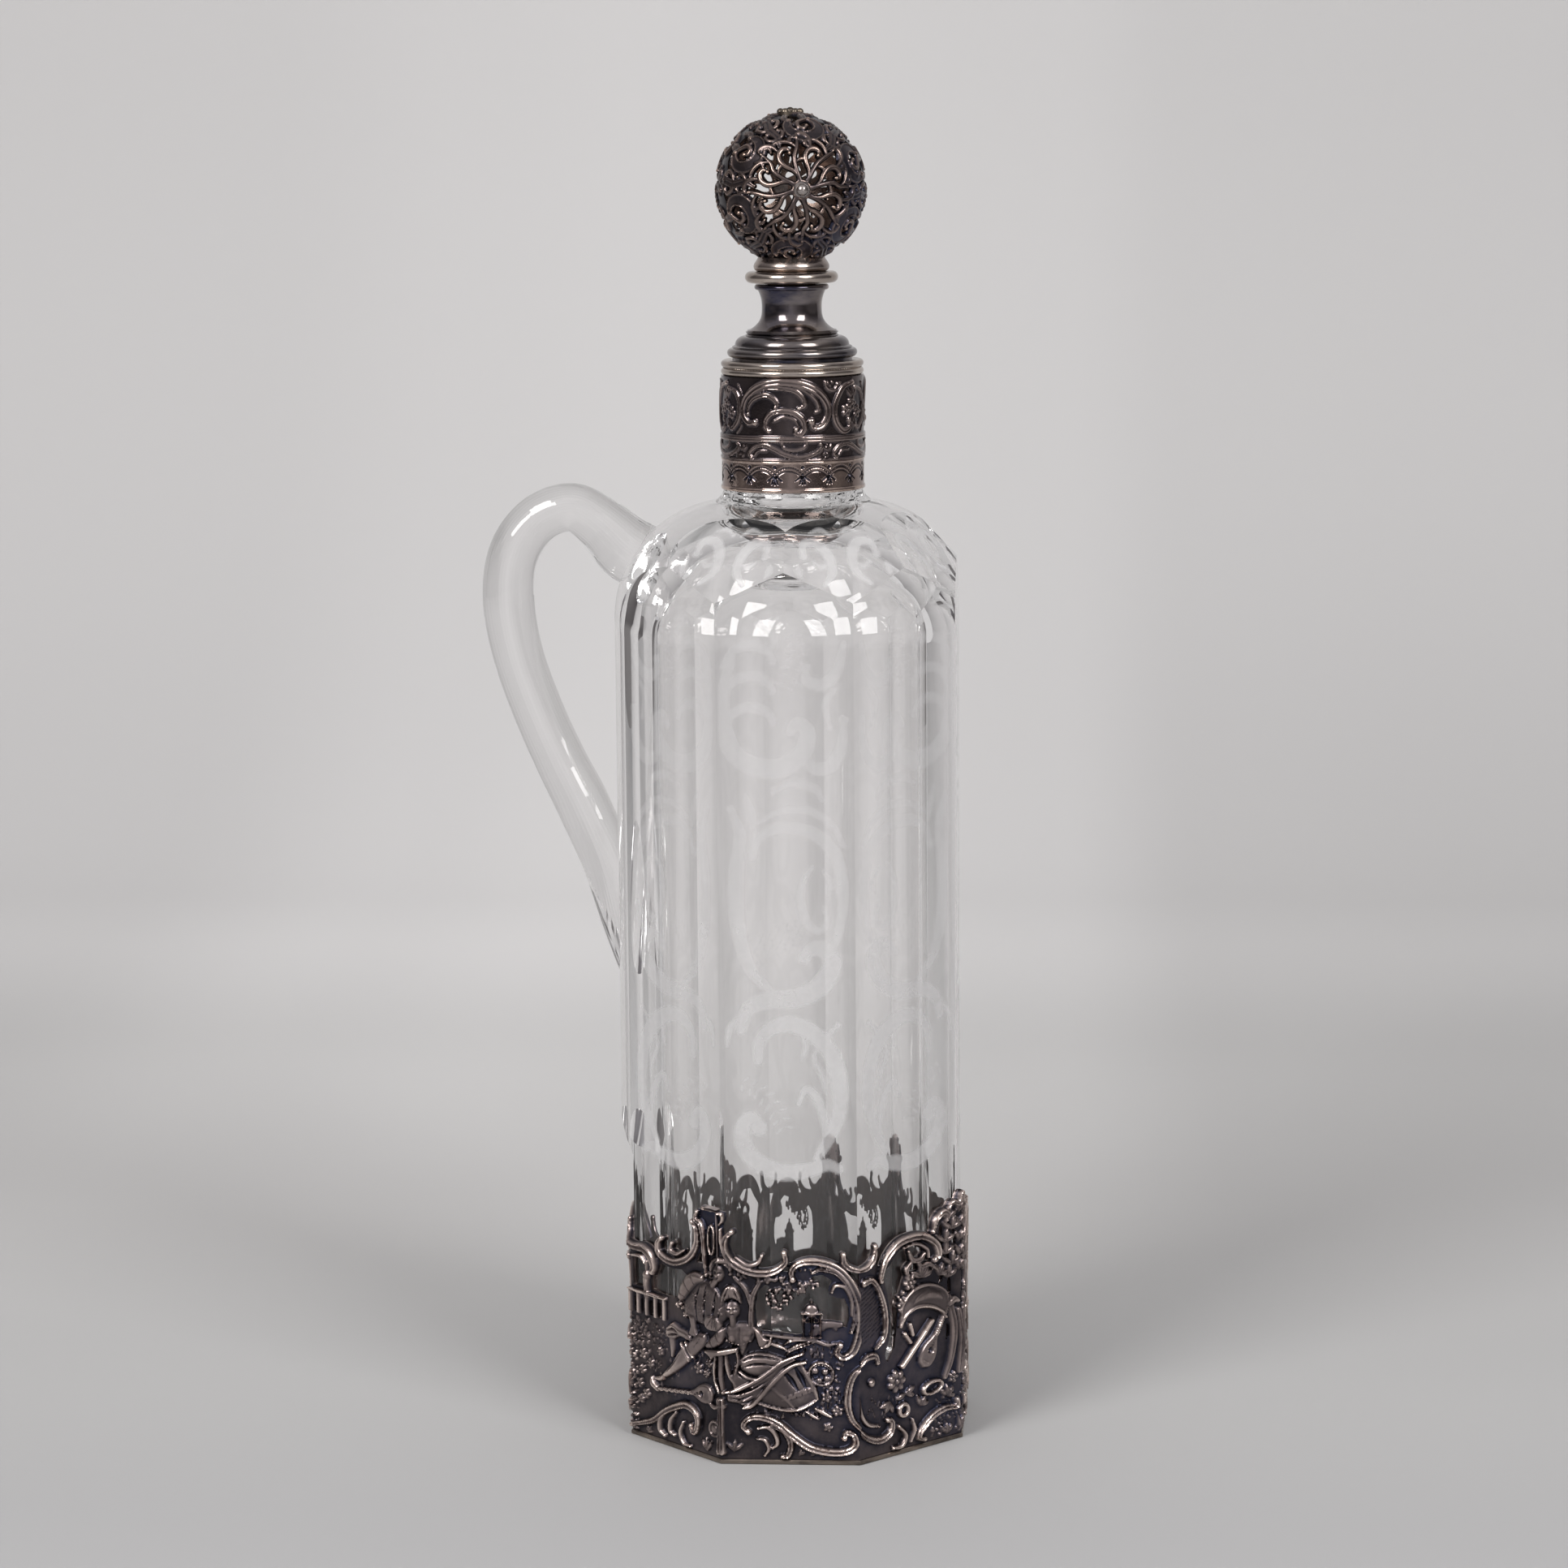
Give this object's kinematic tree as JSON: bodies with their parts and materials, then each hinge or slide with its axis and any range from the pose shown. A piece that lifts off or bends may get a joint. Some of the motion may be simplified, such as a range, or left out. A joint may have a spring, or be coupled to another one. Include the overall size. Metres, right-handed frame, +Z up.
{
  "type": "claret jug",
  "caption": "Tall eight-sided cut-glass claret jug with a glass loop handle, pierced silver foot gallery, chased silver neck and a corked stopper topped by an openwork ball.",
  "frame": {"origin": "centre of the foot at the table", "axes": "+Z up through the neck and stopper; -Y is the front; the handle stands out at -X"},
  "size_m": [0.1241, 0.088, 0.3403],
  "materials": {
    "cut_glass": "clear, polished, with matt etched ornament",
    "dark_silver": "oxidised silver, dark in the hollows and rubbed bright on the ridges",
    "rubbed_silver": "worn polished silver with a warm tarnish",
    "cement": "matt white plaster cement",
    "cork": "natural cork",
    "rod_metal": "dull drawn metal"
  },
  "bodies": {
    "jug": {"glass_body": "cut_glass", "glass_handle": "cut_glass", "foot_rim": "rubbed_silver", "foot_ledge": "dark_silver", "gallery_front": "dark_silver", "gallery_front_right": "dark_silver", "gallery_right": "dark_silver", "gallery_back_right": "dark_silver", "gallery_back": "dark_silver", "gallery_back_left": "dark_silver", "gallery_left": "dark_silver", "gallery_front_left": "dark_silver", "neck_cement": "cement", "neck_collar": "dark_silver", "neck_low_frieze": "dark_silver", "neck_tall_frieze": "dark_silver", "neck_reeded_ring": "rubbed_silver", "neck_cap": "dark_silver", "mouth_spool": "rubbed_silver"},
    "cork_plug": {"cork": "cork", "tie_rod": "rod_metal", "cork_washer": "rod_metal", "rod_nut": "rod_metal"},
    "stopper_top": {"stopper_flange": "rubbed_silver", "stopper_cup": "dark_silver", "ball_front_half": "dark_silver", "ball_back_half": "dark_silver", "front_rosette_bead": "rubbed_silver", "back_rosette_bead": "rubbed_silver", "ball_top_cluster": "dark_silver"}
  },
  "joints": [
    {"name": "stopper_lift", "type": "slide", "parent": "jug", "child": "cork_plug", "axis": [0, 0, 1], "range_m": [0, 0.08]},
    {"name": "stopper_turn", "type": "hinge", "parent": "cork_plug", "child": "stopper_top", "pos_m": [0, 0, 0.298], "axis": [0, 0, 1], "continuous": true}
  ]
}
